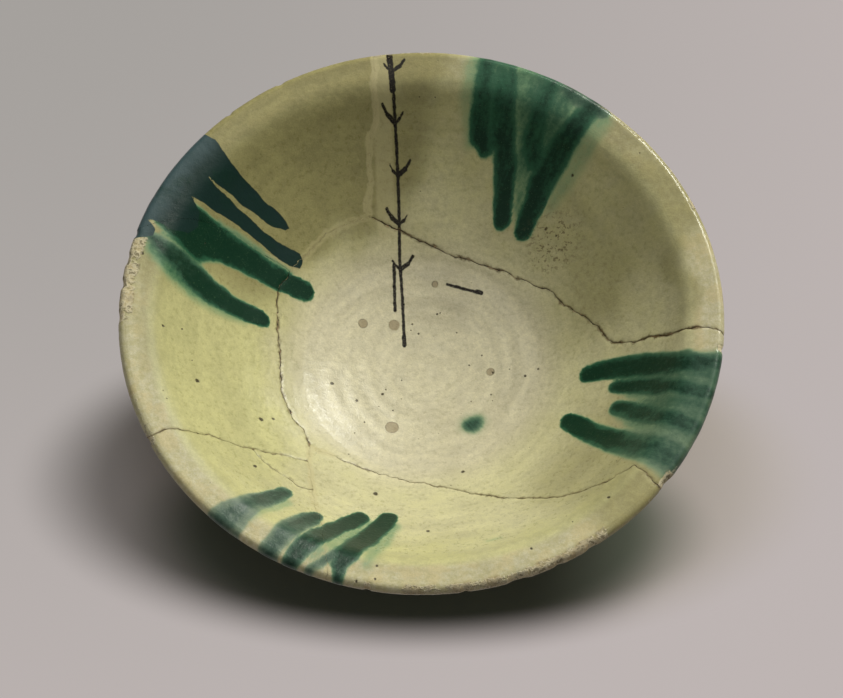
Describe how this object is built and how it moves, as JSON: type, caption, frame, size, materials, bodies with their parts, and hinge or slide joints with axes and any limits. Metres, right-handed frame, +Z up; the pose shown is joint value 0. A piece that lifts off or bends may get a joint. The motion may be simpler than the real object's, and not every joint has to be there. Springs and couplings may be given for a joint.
{
  "type": "glazed earthenware bowl",
  "caption": "Wide shallow glazed bowl with a turned-out rim and a low ring foot, mended from sherds and a plaster fill; holds and serves food.",
  "frame": {"origin": "on the bowl's axis, in the plane that the foot ring stands on", "axes": "+Z up along the bowl's axis, +X to the right and +Y away from the picture's camera"},
  "size_m": [0.204, 0.204, 0.059],
  "materials": {
    "fired_clay": "matt buff earthenware",
    "bare_foot": "matt buff earthenware, turned",
    "splashed_glaze": "glossy opaque cream glaze with copper green splashes",
    "plaster": "matt gypsum plaster",
    "retouch_paint": "satin retouching paint",
    "mending_glue": "dull brown resin"
  },
  "bodies": {
    "root": {"fill_paint": "retouch_paint", "foot_ring": "bare_foot", "glaze_bottom": "splashed_glaze", "glaze_centre": "splashed_glaze", "glaze_left": "splashed_glaze", "glaze_lower_left": "splashed_glaze", "glaze_small": "splashed_glaze", "glaze_top": "splashed_glaze", "glue_centre_bottom": "mending_glue", "glue_fill_centre": "mending_glue", "glue_fill_left": "mending_glue", "glue_fill_top": "mending_glue", "glue_left_bottom": "mending_glue", "glue_left_centre": "mending_glue", "glue_left_lower_left": "mending_glue", "glue_left_small": "mending_glue", "glue_lower_left_bottom": "mending_glue", "glue_small_bottom": "mending_glue", "glue_small_lower_left": "mending_glue", "glue_top_centre": "mending_glue", "plaster_fill": "plaster", "sherd_bottom": "fired_clay", "sherd_centre": "fired_clay", "sherd_left": "fired_clay", "sherd_lower_left": "fired_clay", "sherd_small": "fired_clay", "sherd_top": "fired_clay"}
  },
  "joints": []
}
